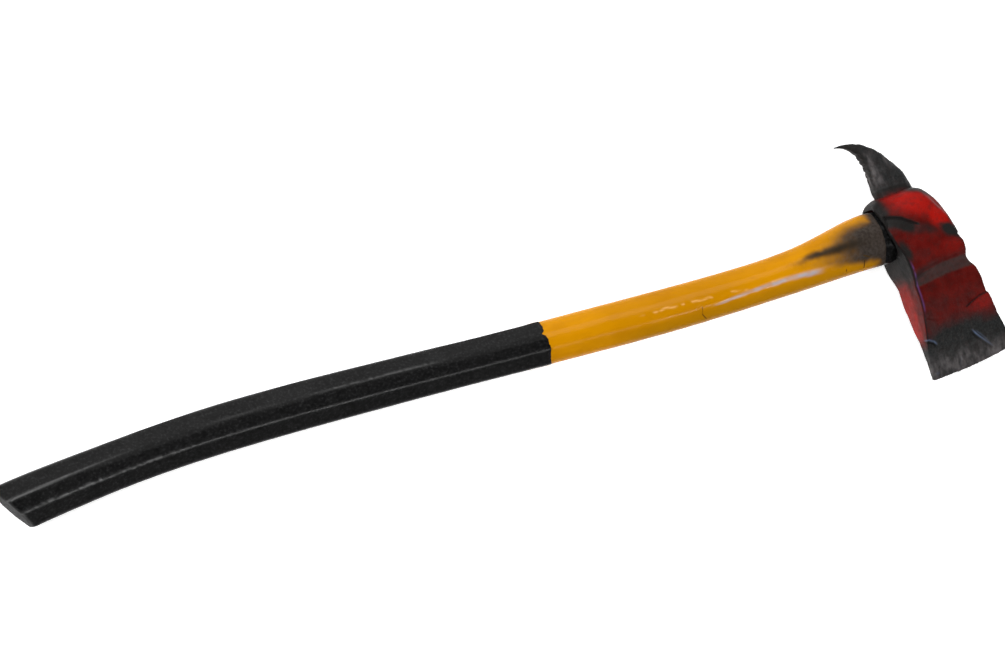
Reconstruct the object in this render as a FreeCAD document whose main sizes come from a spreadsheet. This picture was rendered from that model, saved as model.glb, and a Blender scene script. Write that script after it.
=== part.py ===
"""Pick-head fire axe with a bonded composite handle, lying on one cheek.

Frame, in millimetres: X runs along the handle from the butt to the crown of the head, Y from the
cutting edge to the pick, and Z up from the cheek that the axe rests on. The origin is at the middle
of the bottom of the bounding box. Every piece is drawn about the axe's mid-plane, and its Placement
lifts that plane by half the thickness of the eye boss.
"""
import FreeCAD, Part
import math
import os

import Sketcher

V = FreeCAD.Vector

# Driving dimensions in millimetres and degrees. "half" is half a thickness, from the mid-plane.
# "across" values are places along Y after the head's lean is taken out, so they follow the head
# from its cutting edge to its pick.
HEAD = {
    "boss_half": 22.0,
    "head_lean": 6.0,             # the head leans this much from square to the frame's X
    "head_middle_x": 397.0,       # where the lean is measured from
    "under_x": 363.5,             # floor of the socket in the boss, where the collar sits
    "lug_x": 357.0,               # the lug past the handle, on the pick's side: its top
    "lug_y": 57.0,
    "lug_tip_x": 353.8,
    "lug_tip_y": 50.5,
    "lip_x": 354.2,               # from here the two lips beside the collar fall away in an arc
    "lip_y": 40.0,
    "lip_end_x": 364.0,
    "lip_end_y": 3.0,
    "lip_radius": 81.0,
    "blade_root_y": -22.0,
    "heel_x": 369.0,              # underside of the blade, down to the heel of the edge
    "heel_y": -110.5,
    "toe_x": 457.5,
    "toe_y": -102.0,
    "edge_radius": 470.0,         # the cutting edge bows out
    "blade_side_x": 437.0,        # crown side of the blade, below the waist
    "blade_side_y": -30.0,
    "blade_side_radius": 330.0,
    "waist_x": 426.5,             # waist between boss and blade
    "waist_y": -12.0,
    "waist_radius": 45.0,
    "lobe_x": 398.0,              # end of the round crown, beside the pick
    "lobe_y": 59.0,
    "crown_radius": 84.0,
    "cheek_end_across": -7.0,     # the flat cheek ends here and rolls down to the blade
    "valley_across": -26.0,
    "valley_half": 15.5,
    "valley_radius": 32.0,
    "wedge_across": -76.0,        # the full blade cheek turns into the straight wedge
    "wedge_half": 7.0,
    "blade_cheek_radius": 95.0,
    "edge_across": -111.0,
    "edge_half": 0.4,
    "lobe_across": 30.0,          # the flat cheek ends here and rolls down to the pick
    "lobe_end_across": 62.0,
    "lobe_end_half": 11.0,
    "lobe_cheek_radius": 55.0,
    "boss_rounding": 3.5,
    "reach": 1200.0,              # size of the cutting blocks, well beyond the axe
}

# The pick, root to tip: centre x and y, heading from +X, width in the XY plane, thickness in Z.
PICK_SECTIONS = [
    (382.0, 44.0, 91.0, 32.0, 22.0),
    (381.8, 61.0, 94.0, 31.0, 19.0),
    (378.8, 75.0, 101.0, 28.0, 16.0),
    (371.8, 89.5, 119.0, 20.0, 12.0),
    (361.0, 101.1, 147.0, 12.0, 7.5),
    (338.5, 108.7, 167.0, 1.6, 1.6),
]

EYE = {
    "eye_y": 24.0,                # middle of the eye
    "eye_depth": 42.0,            # along Y, at the underside
    "eye_thickness": 26.0,        # along Z, at the underside
    "eye_flare": 2.0,             # how much wider the eye is at the crown
    "crown_x": 432.0,             # just beyond the crown
    "resin_face_x": 417.0,        # crown face of the resin, on the eye's middle line
    "resin_face_tilt": 17.5,
}

# The handle, butt to shoulder: x, middle line y, depth along Y, thickness along Z.
HANDLE_STATIONS = [
    (-470.0, 8.2, 41.4, 32.0),
    (-395.0, 17.1, 39.8, 30.5),
    (-320.0, 23.0, 38.9, 29.5),
    (-245.0, 24.8, 39.4, 29.5),
    (-170.0, 23.6, 38.9, 29.0),
    (-95.0, 21.3, 37.7, 28.5),
    (-20.0, 18.5, 37.2, 28.5),
    (55.0, 16.3, 37.5, 28.5),
    (130.0, 14.5, 38.0, 28.5),
    (205.0, 14.1, 36.9, 28.5),
    (280.0, 16.9, 39.4, 30.5),
    (316.0, 20.5, 45.0, 33.5),
    (352.0, 22.4, 48.4, 36.5),
]

HANDLE = {
    "flat_share": 0.34,           # share of the depth that is flat on each side of the handle
    "edge_share": 0.40,           # share of the thickness that is flat on each edge
    "pick_flat_share": 0.55,
    "pick_edge_share": 0.45,
    "grip_wall": 2.5,
    "grip_end_x": 24.0,           # where the grip stops and the jacket shows
    "core_depth": 27.0,
    "core_thickness": 17.0,
    "core_start_x": -430.0,
    "plug_end_x": -408.0,         # inner face of the butt plug
    "butt_x": -447.1,             # a point on the slanted butt face, and its slant
    "butt_y": 9.5,
    "butt_slant": 32.0,
    "butt_rounding": 4.0,
    "butt_wall": 3.5,             # rubber over the end of the plug
    "collar_inset": 1.2,          # how far the collar stands in from the shoulder
}

SHOULDER = len(HANDLE_STATIONS)   # number of the last station
INNER_STATIONS = 9                # the sleeve is backed by the jacket over these stations


def new_sheet(doc):
    """Write every driving dimension into the spreadsheet, one aliased cell each."""
    sheet = doc.addObject("Spreadsheet::Sheet", "dims")
    rows = {**HEAD, **EYE, **HANDLE}
    for number, values in enumerate(PICK_SECTIONS, start=1):
        for name, value in zip(("x", "y", "heading", "width", "thick"), values):
            rows[f"pick_{name}_{number}"] = value
    for number, values in enumerate(HANDLE_STATIONS, start=1):
        for name, value in zip(("x", "middle", "depth", "thick"), values):
            rows[f"station_{name}_{number}"] = value
    for row, (alias, value) in enumerate(rows.items(), start=1):
        sheet.set(f"A{row}", alias)
        sheet.set(f"B{row}", str(value))
        sheet.setAlias(f"B{row}", alias)
    doc.recompute()
    return sheet


doc = FreeCAD.newDocument("fire_axe")
dims = new_sheet(doc)


def value_of(expression):
    """The present value of an expression written with the sheet's cells."""
    return float(dims.evalExpression(expression.replace("dims.", "")))


def plane(body, role):
    """One of a body's own origin planes, found by its role."""
    return next(item for item in body.Origin.OriginFeatures if item.Role == role)


def new_sketch(body, name, role, offset=None, angle=None):
    """A sketch on an origin plane, moved by offset expressions and turned about its own Y."""
    sketch = body.newObject("Sketcher::SketchObject", name)
    sketch.AttachmentSupport = [(plane(body, role), "")]
    sketch.MapMode = "FlatFace"
    if angle:
        turn = FreeCAD.Rotation(V(0, 1, 0), value_of(angle))
        sketch.AttachmentOffset = FreeCAD.Placement(V(), turn)
        sketch.setExpression("AttachmentOffset.Rotation.Angle", angle)
    for axis, expression in (offset or {}).items():
        sketch.setExpression(f"AttachmentOffset.Base.{axis}", expression)
    return sketch


def bind(sketch, kind, *where, to):
    """Add a dimension to a sketch and tie it to an expression."""
    index = sketch.addConstraint(Sketcher.Constraint(kind, *where, value_of(to)))
    sketch.setExpression(f"Constraints[{index}]", to)


def arc_between(start, end, radius):
    """A circular arc that bows to the left of the way from start to end, or right if negative."""
    chord = end - start
    side = V(-chord.y, chord.x, 0).normalize()
    half = chord.Length / 2
    bow = abs(radius) - math.sqrt(radius ** 2 - half ** 2)
    middle = start + chord * 0.5 + side * math.copysign(bow, radius)
    return Part.Arc(start, middle, end)


def outline(sketch, corners):
    """A closed outline through corners (x, y, radius of the arc to the next corner or None)."""
    places = [V(value_of(x), value_of(y), 0) for x, y, _ in corners]
    ends = []
    for number, (_, _, radius) in enumerate(corners):
        start = places[number]
        end = places[(number + 1) % len(places)]
        if radius is None:
            sketch.addGeometry(Part.LineSegment(start, end), False)
            ends.append((1, 2))
            continue
        sketch.addGeometry(arc_between(start, end, value_of(radius)), False)
        forwards = sketch.getPoint(number, 1).distanceToPoint(start) < 0.001
        ends.append((1, 2) if forwards else (2, 1))
        size = radius.lstrip("-")
        bind(sketch, "Radius", number, to=size)
    for number, (x, y, _) in enumerate(corners):
        before = (number - 1) % len(corners)
        first = ends[number][0]
        sketch.addConstraint(Sketcher.Constraint("Coincident", before, ends[before][1], number, first))
        bind(sketch, "DistanceX", -1, 1, number, first, to=x)
        bind(sketch, "DistanceY", -1, 1, number, first, to=y)


def octagon(sketch, width, thickness, flat_share, edge_share):
    """An eight-sided section about the sketch's origin, with flats on all four sides."""
    wide = f"({width}) / 2"
    thick = f"({thickness}) / 2"
    flat = f"{wide} * {flat_share}"
    edge = f"{thick} * {edge_share}"
    quarter = [(flat, thick), (wide, edge)]
    corners = []
    for x, y in quarter:
        corners.append((x, y, None))
    for x, y in reversed(quarter):
        corners.append((x, f"-{y}", None))
    for x, y in quarter:
        corners.append((f"-{x}", f"-{y}", None))
    for x, y in reversed(quarter):
        corners.append((f"-{x}", y, None))
    outline(sketch, corners)


def slot(sketch, length, thickness):
    """An oval section about the sketch's origin: two flats joined by half circles."""
    end = f"({length} - {thickness}) / 2"
    radius = f"{thickness} / 2"
    half = value_of(end)
    round_size = value_of(radius)
    up = V(0, 0, 1)
    quarter = math.pi / 2
    sketch.addGeometry(Part.LineSegment(V(-half, round_size, 0), V(half, round_size, 0)), False)
    right = Part.Circle(V(half, 0, 0), up, round_size)
    sketch.addGeometry(Part.ArcOfCircle(right, -quarter, quarter), False)
    sketch.addGeometry(Part.LineSegment(V(half, -round_size, 0), V(-half, -round_size, 0)), False)
    left = Part.Circle(V(-half, 0, 0), up, round_size)
    sketch.addGeometry(Part.ArcOfCircle(left, quarter, 3 * quarter), False)
    for one, one_end, other, other_end in ((0, 2, 1, 2), (1, 1, 2, 1), (2, 2, 3, 2), (3, 1, 0, 1)):
        sketch.addConstraint(Sketcher.Constraint("Tangent", one, one_end, other, other_end))
    sketch.addConstraint(Sketcher.Constraint("Symmetric", 1, 3, 3, 3, -1, 1))
    sketch.addConstraint(Sketcher.Constraint("PointOnObject", 1, 3, -1))
    bind(sketch, "Radius", 1, to=radius)
    bind(sketch, "DistanceX", -1, 1, 1, 3, to=end)


def loft(body, sections):
    """Join a body's section sketches into a smooth loft."""
    feature = body.newObject("PartDesign::AdditiveLoft", f"{body.Name}_loft")
    feature.Profile = sections[0]
    feature.Sections = sections[1:]
    feature.Ruled = False
    return feature


def station_offset(number):
    return {"x": f"dims.station_middle_{number}", "z": f"dims.station_x_{number}"}


def octagon_form(name, stations, inset):
    """The handle's eight-sided shape over some of its stations, drawn in by an inset."""
    body = doc.addObject("PartDesign::Body", name)
    sections = []
    for number in stations:
        sketch = new_sketch(body, f"{name}_{number}", "YZ_Plane", station_offset(number))
        width = f"dims.station_depth_{number} - 2 * {inset}"
        thickness = f"dims.station_thick_{number} - 2 * {inset}"
        octagon(sketch, width, thickness, "dims.flat_share", "dims.edge_share")
        sections.append(sketch)
    loft(body, sections)
    return body


def slot_form(name, sections_at, length, thickness):
    """An oval bar through places given as sketch offsets, each with its own added width."""
    body = doc.addObject("PartDesign::Body", name)
    sections = []
    for number, (offset, extra) in enumerate(sections_at, start=1):
        sketch = new_sketch(body, f"{name}_{number}", "YZ_Plane", offset)
        slot(sketch, f"({length} + {extra})", f"({thickness} + {extra})")
        sections.append(sketch)
    loft(body, sections)
    return body


def behind(name, x, y, angle):
    """A block that fills the space behind a plane: behind is -X when the angle is nought."""
    block = doc.addObject("Part::Box", name)
    for side in ("Length", "Width", "Height"):
        block.setExpression(side, "dims.reach")
    turn = f"placement(vector({x}; {y}; 0); rotation(vector(0; 0; 1); {angle}))"
    shift = "placement(vector(-dims.reach; -dims.reach / 2; -dims.reach / 2)"
    block.setExpression("Placement", f"{turn} * {shift}; rotation(vector(0; 0; 1); 0))")
    return block


def cut(name, base, tool):
    result = doc.addObject("Part::Cut", name)
    result.Base = base
    result.Tool = tool
    return result


def common(name, base, tool):
    result = doc.addObject("Part::Common", name)
    result.Base = base
    result.Tool = tool
    return result


def head_forging():
    """Eye boss and blade in one pad, shaped in thickness by pockets on both cheeks, with the pick."""
    body = doc.addObject("PartDesign::Body", "head_forging")
    side = new_sketch(body, "head_side", "XY_Plane")
    outline(side, [
        ("dims.lug_x", "dims.lug_y", None),
        ("dims.lug_tip_x", "dims.lug_tip_y", None),
        ("dims.lip_x", "dims.lip_y", "-dims.lip_radius"),
        ("dims.lip_end_x", "dims.lip_end_y", None),
        ("dims.heel_x", "dims.blade_root_y", None),
        ("dims.heel_x", "dims.heel_y", "-dims.edge_radius"),
        ("dims.toe_x", "dims.toe_y", "dims.blade_side_radius"),
        ("dims.blade_side_x", "dims.blade_side_y", "dims.waist_radius"),
        ("dims.waist_x", "dims.waist_y", "-dims.crown_radius"),
        ("dims.lobe_x", "dims.lobe_y", None),
    ])
    pad = body.newObject("PartDesign::Pad", "head_pad")
    pad.Profile = side
    pad.SideType = "Symmetric"
    pad.setExpression("Length", "2 * dims.boss_half")

    blade_side = cheek_pocket(body, "blade_cheek", [
        ("dims.cheek_end_across", "dims.boss_half", "dims.valley_radius"),
        ("dims.valley_across", "dims.valley_half", "-dims.blade_cheek_radius"),
        ("dims.wedge_across", "dims.wedge_half", None),
        ("dims.edge_across", "dims.edge_half", None),
        ("-dims.reach / 2", "dims.edge_half", None),
        ("-dims.reach / 2", "dims.boss_half * 2", None),
        ("dims.cheek_end_across", "dims.boss_half * 2", None),
    ])
    lobe_side = cheek_pocket(body, "lobe_cheek", [
        ("dims.lobe_across", "dims.boss_half", "dims.lobe_cheek_radius"),
        ("dims.lobe_end_across", "dims.lobe_end_half", None),
        ("dims.reach / 2", "dims.lobe_end_half", None),
        ("dims.reach / 2", "dims.boss_half * 2", None),
        ("dims.lobe_across", "dims.boss_half * 2", None),
    ])
    other_cheek = body.newObject("PartDesign::Mirrored", "other_cheek")
    other_cheek.Originals = [blade_side, lobe_side]
    other_cheek.MirrorPlane = (plane(body, "XY_Plane"), [""])
    body.Tip = other_cheek
    doc.recompute()
    rounding = body.newObject("PartDesign::Fillet", "boss_edges")
    rounding.Base = (other_cheek, boss_edges(other_cheek.Shape))
    rounding.setExpression("Radius", "dims.boss_rounding")
    return body


def across(point):
    """A point's place along Y after the head's lean is taken out."""
    lean = math.radians(value_of("dims.head_lean"))
    return point.y * math.cos(lean) - (point.x - value_of("dims.head_middle_x")) * math.sin(lean)


def boss_edges(shape):
    """The edges all round the boss's two cheeks, without the soft ridge where the lobe starts."""
    names = []
    for number, edge in enumerate(shape.Edges, start=1):
        middle = edge.CenterOfMass
        place = across(middle)
        on_cheek = abs(middle.z) > value_of("dims.lobe_end_half")
        on_ridge = abs(place - value_of("dims.lobe_across")) < 1
        if on_cheek and not on_ridge and place > value_of("dims.cheek_end_across") - 1:
            names.append(f"Edge{number}")
    return names


def cheek_pocket(body, name, corners):
    """Cut one cheek away above an outline seen along the head, underside to crown."""
    offset = {"z": "dims.head_middle_x"}
    sketch = new_sketch(body, f"{name}_outline", "YZ_Plane", offset, "dims.head_lean")
    outline(sketch, corners)
    doc.recompute()
    before = body.Tip.Shape.Volume
    pocket = body.newObject("PartDesign::Pocket", name)
    pocket.Profile = sketch
    pocket.SideType = "Symmetric"
    pocket.setExpression("Length", "dims.reach")
    doc.recompute()
    if pocket.Shape.Volume > before - 1:
        raise SystemExit(f"{name} cuts nothing")
    return pocket


def head_pick():
    """The hooked pick, lofted from its root inside the lobe to its point."""
    body = doc.addObject("PartDesign::Body", "head_pick")
    sections = []
    for number in range(1, len(PICK_SECTIONS) + 1):
        offset = {"x": f"dims.pick_y_{number}", "z": f"dims.pick_x_{number}"}
        heading = f"dims.pick_heading_{number}"
        sketch = new_sketch(body, f"pick_{number}", "YZ_Plane", offset, heading)
        width = f"dims.pick_width_{number}"
        thickness = f"dims.pick_thick_{number}"
        octagon(sketch, width, thickness, "dims.pick_flat_share", "dims.pick_edge_share")
        sections.append(sketch)
    loft(body, sections)
    return body


def build():
    """Build every piece and return them by name."""
    handle_form = octagon_form("handle_form", range(1, SHOULDER + 1), "0")
    inner_form = octagon_form("inner_form", range(1, INNER_STATIONS + 1), "dims.grip_wall")
    core_places = [(station_offset(number), "0") for number in range(1, SHOULDER + 1)]
    core_places.append(({"x": "dims.eye_y", "z": "dims.crown_x"}, "0"))
    core_bar = slot_form("core_bar", core_places, "dims.core_depth", "dims.core_thickness")
    core_form = cut("core_form", core_bar, behind("before_core", "dims.core_start_x", "0", "0"))
    eye_places = [
        ({"x": "dims.eye_y", "z": "dims.under_x"}, "0"),
        ({"x": "dims.eye_y", "z": "dims.crown_x"}, "dims.eye_flare"),
    ]
    eye_form = slot_form("eye_form", eye_places, "dims.eye_depth", "dims.eye_thickness")

    grip_side = behind("grip_side", "dims.grip_end_x", "0", "0")
    plug_side = behind("plug_side", "dims.plug_end_x", "0", "0")
    past_butt = behind("past_butt", "dims.butt_x", "dims.butt_y", "dims.butt_slant")
    past_plug = behind(
        "past_plug",
        "dims.butt_x + dims.butt_wall / cos(dims.butt_slant)",
        "dims.butt_y",
        "dims.butt_slant",
    )
    past_resin = behind("past_resin", "dims.resin_face_x", "dims.eye_y", "180 + dims.resin_face_tilt")

    forging = head_forging()
    pick = head_pick()
    whole_head = doc.addObject("Part::MultiFuse", "whole_head")
    whole_head.Shapes = [forging, pick]
    eyed_head = cut("eyed_head", whole_head, eye_form)
    pieces = {"axe_head": cut("axe_head", eyed_head, collar_space("socket", "0"))}

    pieces["handle_core"] = cut("handle_core", core_form, past_resin)
    resin = cut("resin_block", eye_form, past_resin)
    pieces["eye_epoxy"] = cut("eye_epoxy", resin, core_form)

    filling = cut("filling", common("under_grip", inner_form, grip_side), past_plug)
    shown = cut("shown_jacket", handle_form, grip_side)
    hidden = cut("hidden_jacket", filling, plug_side)
    whole_jacket = doc.addObject("Part::MultiFuse", "whole_jacket")
    whole_jacket.Shapes = [shown, hidden]
    pieces["handle_jacket"] = cut("handle_jacket", whole_jacket, core_form)
    plug_block = common("plug_block", filling, plug_side)
    pieces["butt_plug"] = cut("butt_plug", plug_block, core_form)
    grip_block = cut("grip_block", common("grip_length", handle_form, grip_side), past_butt)
    pieces["grip_sleeve"] = cut("grip_sleeve", rounded_butt(grip_block), filling)

    collar_block = collar_space("collar_block", "dims.collar_inset")
    pieces["eye_collar"] = cut("eye_collar", collar_block, core_form)
    return pieces


def rounded_butt(block):
    """Round the rim of the slanted butt face."""
    doc.recompute()
    middle = V(value_of("dims.butt_x"), value_of("dims.butt_y"), 0)
    face = min(block.Shape.Faces, key=lambda item: item.CenterOfMass.distanceToPoint(middle))
    radius = value_of("dims.butt_rounding")
    rim = []
    for number, edge in enumerate(block.Shape.Edges, start=1):
        if any(edge.isSame(other) for other in face.Edges):
            rim.append((number, radius, radius))
    rounding = doc.addObject("Part::Fillet", "rounded_butt")
    rounding.Base = block
    rounding.Edges = rim
    return rounding


def collar_space(name, inset):
    """A block from the end of the shoulder to the socket floor, drawn in from the shoulder."""
    body = doc.addObject("PartDesign::Body", name)
    sketch = new_sketch(body, f"{name}_outline", "YZ_Plane", station_offset(SHOULDER))
    width = f"dims.station_depth_{SHOULDER} - 2 * {inset}"
    thickness = f"dims.station_thick_{SHOULDER} - 2 * {inset}"
    octagon(sketch, width, thickness, "dims.flat_share", "dims.edge_share")
    pad = body.newObject("PartDesign::Pad", f"{name}_pad")
    pad.Profile = sketch
    pad.setExpression("Length", f"dims.under_x - dims.station_x_{SHOULDER}")
    return body


def check(pieces):
    """Stop if any object failed to build, or a piece is empty, broken or not one solid."""
    for item in doc.Objects:
        if "Invalid" in item.State or "Error" in item.State:
            raise SystemExit(f"{item.Name} failed: {item.State}")
    for name, piece in pieces.items():
        shape = piece.Shape
        if shape.isNull() or not shape.isValid() or len(shape.Solids) != 1:
            raise SystemExit(f"{name} is not one valid solid")


pieces = build()
for name, piece in pieces.items():
    piece.Label = name
    piece.setExpression("Placement.Base.z", "dims.boss_half")
doc.recompute()
check(pieces)
os.makedirs("parts", exist_ok=True)
for name, piece in pieces.items():
    piece.Shape.exportStep(f"parts/{name}.step")
    box = piece.Shape.optimalBoundingBox(False)
    print(f"{name}: {piece.Shape.Volume:.0f} mm3, x {box.XMin:.1f} to {box.XMax:.1f}, "
          f"y {box.YMin:.1f} to {box.YMax:.1f}, z {box.ZMin:.1f} to {box.ZMax:.1f}")
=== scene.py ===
"""Looks of the pick-head fire axe: worn red head, glossy yellow jacket and black rubber grip.

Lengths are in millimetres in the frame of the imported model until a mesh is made, which is in
metres. Points on the head and pick give z from the axe's mid-plane, which lies MIDDLE_Z above the
frame's origin. A "half" is half a thickness. "Across" is measured in the head's own direction,
from the cutting edge to the pick.
"""
import itertools
import math

import bmesh
import bpy
import numpy as np
from mathutils import Matrix, Vector
from mathutils.bvhtree import BVHTree


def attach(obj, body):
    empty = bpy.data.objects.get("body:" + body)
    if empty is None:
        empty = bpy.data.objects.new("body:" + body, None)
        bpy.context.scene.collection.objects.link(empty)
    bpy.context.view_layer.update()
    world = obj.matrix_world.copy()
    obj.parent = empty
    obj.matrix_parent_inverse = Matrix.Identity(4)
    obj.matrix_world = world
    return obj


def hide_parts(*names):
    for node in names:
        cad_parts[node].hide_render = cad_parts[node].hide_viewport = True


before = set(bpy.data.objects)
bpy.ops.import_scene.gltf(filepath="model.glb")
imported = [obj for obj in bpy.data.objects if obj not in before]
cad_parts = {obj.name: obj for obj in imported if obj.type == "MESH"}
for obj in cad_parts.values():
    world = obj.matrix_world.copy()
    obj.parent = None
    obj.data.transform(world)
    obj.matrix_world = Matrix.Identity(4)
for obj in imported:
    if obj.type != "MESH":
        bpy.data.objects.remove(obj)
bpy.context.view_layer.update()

MM = 0.001
MIDDLE_Z = 22.0

# -------- camera, floor and lights

CAMERA_AT = Vector((-0.905, 0.033, 2.290))
CAMERA_AIM = Vector((-0.0114, 0.0331, 0.022))
CAMERA_ROLL = math.radians(16.3)
CAMERA_LENS = 104.6

# The soft boxes: name, place, the point it faces, length and width, and watts.
LIGHTS = (
    ("key", (0.2, 1.5, 2.1), (0.0, 0.03, 0), (3.0, 1.5), 43),
    ("grip_strip", (0.3, -1.25, 1.75), (-0.2, 0.03, 0), (0.6, 0.08), 12),
    ("jacket_strip", (1.30, -1.25, 1.75), (0.25, 0.03, 0), (0.22, 0.12), 8),
    ("front", (-1.9, 0.5, 2.2), (0.1, 0, 0), (1.2, 1.2), 44),
)


def add_object(name, data):
    thing = bpy.data.objects.new(name, data)
    bpy.context.scene.collection.objects.link(thing)
    return thing


def make_camera():
    """A long lens high over the butt end, rolled so that the handle climbs to the right."""
    back = (CAMERA_AT - CAMERA_AIM).normalized()
    level = Vector((0, 1, 0)).cross(back).normalized()
    upright = back.cross(level)
    right = level * math.cos(CAMERA_ROLL) - upright * math.sin(CAMERA_ROLL)
    up = level * math.sin(CAMERA_ROLL) + upright * math.cos(CAMERA_ROLL)
    data = bpy.data.cameras.new("camera")
    data.lens = CAMERA_LENS
    camera = add_object("camera", data)
    turn = Matrix((right, up, back)).transposed().to_4x4()
    camera.matrix_world = Matrix.Translation(CAMERA_AT) @ turn
    bpy.context.scene.camera = camera


def make_light(name, place, aim, size, power):
    """A soft box that faces a point."""
    data = bpy.data.lights.new(name, "AREA")
    data.shape = "RECTANGLE"
    data.size, data.size_y = size
    data.energy = power
    light = add_object(name, data)
    light.location = place
    light.rotation_euler = (Vector(aim) - Vector(place)).to_track_quat("-Z", "Y").to_euler()


# -------- numbers and noise


def ramp(value, start, end):
    """Smooth step from 0 at start to 1 at end; start may be the larger."""
    share = np.clip((value - start) / (end - start), 0, 1)
    return share * share * (3 - 2 * share)


def curve(*points):
    """A smooth function through (place, value) points, level beyond them."""
    places, values = np.array(sorted(points), float).T
    steps = np.diff(places)
    slopes = np.diff(values) / steps
    tangents = np.concatenate([slopes[:1], (slopes[1:] + slopes[:-1]) / 2, slopes[-1:]])
    turns = slopes[1:] * slopes[:-1] <= 0
    tangents[1:-1][turns] = 0

    def value(place):
        place = np.clip(place, places[0], places[-1])
        n = np.clip(np.searchsorted(places, place) - 1, 0, len(steps) - 1)
        t = (place - places[n]) / steps[n]
        start = values[n] * (1 + 2 * t) * (1 - t) ** 2
        end = values[n + 1] * t * t * (3 - 2 * t)
        lean = steps[n] * (tangents[n] * t * (1 - t) ** 2 - tangents[n + 1] * t * t * (1 - t))
        return start + end + lean

    return value


def noise(points, size, seed):
    """Smooth noise from -1 to 1 at each point, with lumps about size across."""
    place = points / size
    base = np.floor(place).astype(np.int64)
    part = place - base
    part = part * part * (3 - 2 * part)
    total = np.zeros(len(points))
    for corner in itertools.product((0, 1), repeat=3):
        x, y, z = (base + corner).T
        mixed = (x * 73856093) ^ (y * 19349663) ^ (z * 83492791) ^ (seed * 2654435761)
        mixed = (mixed & 0xFFFFFFFF) * 2246822519 & 0xFFFFFFFF
        mixed = (mixed ^ (mixed >> 15)) * 3266489917 & 0xFFFFFFFF
        mixed ^= mixed >> 13
        weight = np.prod(np.where(corner, part, 1 - part), axis=1)
        total += weight * (mixed / 0x7FFFFFFF - 1)
    return total


def circle(count):
    """Evenly spaced angles round a full turn."""
    return np.linspace(0, 2 * math.pi, count, endpoint=False)


def near_path(places, path):
    """Each place's distance from a path, the share of the way along it, and its side."""
    path = np.array(path, float)
    lengths = np.linalg.norm(np.diff(path, axis=0), axis=1)
    before = np.concatenate([[0], np.cumsum(lengths)])
    gap = np.full(len(places), 1e9)
    along = np.zeros(len(places))
    side = np.zeros(len(places))
    for start, end, first, length in zip(path[:-1], path[1:], before, lengths):
        way = (end - start) / length
        offset = places - start
        t = np.clip(offset @ way, 0, length)
        distance = np.linalg.norm(offset - t[:, None] * way, axis=1)
        left = way[0] * offset[:, 1] - way[1] * offset[:, 0]
        closer = distance < gap
        gap[closer] = distance[closer]
        along[closer] = (first + t[closer]) / before[-1]
        side[closer] = np.sign(left[closer])
    return gap, along, gap * side


def groove(places, path, width):
    """How deep each place is in a groove along a path, 0 to 1, shallower towards both ends."""
    gap, along, _ = near_path(places, path)
    taper = np.clip(6 * along, 0.25, 1) * np.clip(6 * (1 - along), 0.25, 1)
    return np.exp(-((gap / width) ** 2)) * taper


def blot(places, middle, size, turn=0.0):
    """A soft oval patch, 1 in the middle and 0 outside: size is its two half lengths."""
    angle = math.radians(turn)
    offset = places - np.array(middle)
    along = offset[:, 0] * math.cos(angle) + offset[:, 1] * math.sin(angle)
    beside = offset[:, 1] * math.cos(angle) - offset[:, 0] * math.sin(angle)
    return 1 - ramp(np.hypot(along / size[0], beside / size[1]), 0.3, 1.4)


# -------- meshes


def bands(count, turns, closed):
    """Four-sided faces between rings; closed also joins the last ring to the first."""
    faces = []
    for ring in range(count if closed else count - 1):
        low = ring * turns
        high = (ring + 1) % count * turns
        for turn in range(turns):
            after = (turn + 1) % turns
            faces.append((low + turn, low + after, high + after, high + turn))
    return faces


def ring_tube(name, rings):
    """A closed mesh whose last ring joins its first, for a form with a wall and a bore."""
    count, turns = rings.shape[:2]
    return new_piece(name, rings.reshape(-1, 3), bands(count, turns, True))


def tube(name, rings):
    """A closed mesh through rings of points, with a point in the middle of each end."""
    count, turns = rings.shape[:2]
    points = list(rings.reshape(-1, 3)) + [rings[0].mean(0), rings[-1].mean(0)]
    faces = bands(count, turns, False)
    start = count * turns
    last = start - turns
    for turn in range(turns):
        after = (turn + 1) % turns
        faces.append((start, after, turn))
        faces.append((start + 1, last + turn, last + after))
    return new_piece(name, points, faces)


def new_piece(name, points, faces):
    """An object with a mesh of these points and faces, all faces turned outward."""
    mesh = bpy.data.meshes.new(name)
    mesh.from_pydata([tuple(point * MM) for point in points], [], faces)
    form = bmesh.new()
    form.from_mesh(mesh)
    bmesh.ops.recalc_face_normals(form, faces=form.faces)
    form.to_mesh(mesh)
    form.free()
    return add_object(name, mesh)


def read(piece):
    """A mesh's points in millimetres, and its normals."""
    mesh = piece.data
    points = np.zeros(len(mesh.vertices) * 3)
    normals = np.zeros(len(mesh.vertices) * 3)
    mesh.vertices.foreach_get("co", points)
    mesh.vertex_normals.foreach_get("vector", normals)
    return points.reshape(-1, 3) / MM, normals.reshape(-1, 3)


def press(piece, points, normals, push):
    """Move each point out along its normal, or in where the push is negative."""
    moved = points + normals * push[:, None]
    piece.data.vertices.foreach_set("co", (moved * MM).ravel())
    piece.data.update()


def mask(piece, name, values):
    """Keep a number for each point, which the materials read by name."""
    layer = piece.data.attributes.new(name, "FLOAT", "POINT")
    layer.data.foreach_set("value", np.clip(values, 0, 1).astype(np.float32))


def smooth(piece, sharp_angle):
    """Shade a piece smooth, apart from edges that turn more than an angle in degrees."""
    piece.data.polygons.foreach_set("use_smooth", [True] * len(piece.data.polygons))
    piece.data.set_sharp_from_angle(angle=math.radians(sharp_angle))


def combine(piece, other, operation):
    """Join a second mesh to a piece, or cut it out, and remove the second mesh."""
    step = piece.modifiers.new(operation.lower(), "BOOLEAN")
    step.operation = operation
    step.solver = "MANIFOLD"
    step.object = other
    with bpy.context.temp_override(object=piece, active_object=piece):
        bpy.context.view_layer.objects.active = piece
        bpy.ops.object.modifier_apply(modifier=step.name)
    bpy.data.objects.remove(other)


def finish_piece(piece, material, slot, *nodes):
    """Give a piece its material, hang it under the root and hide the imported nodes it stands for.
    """
    piece.data.materials.clear()
    piece.data.materials.append(material)
    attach(piece, "root")
    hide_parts(*nodes)


# -------- the head

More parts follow.
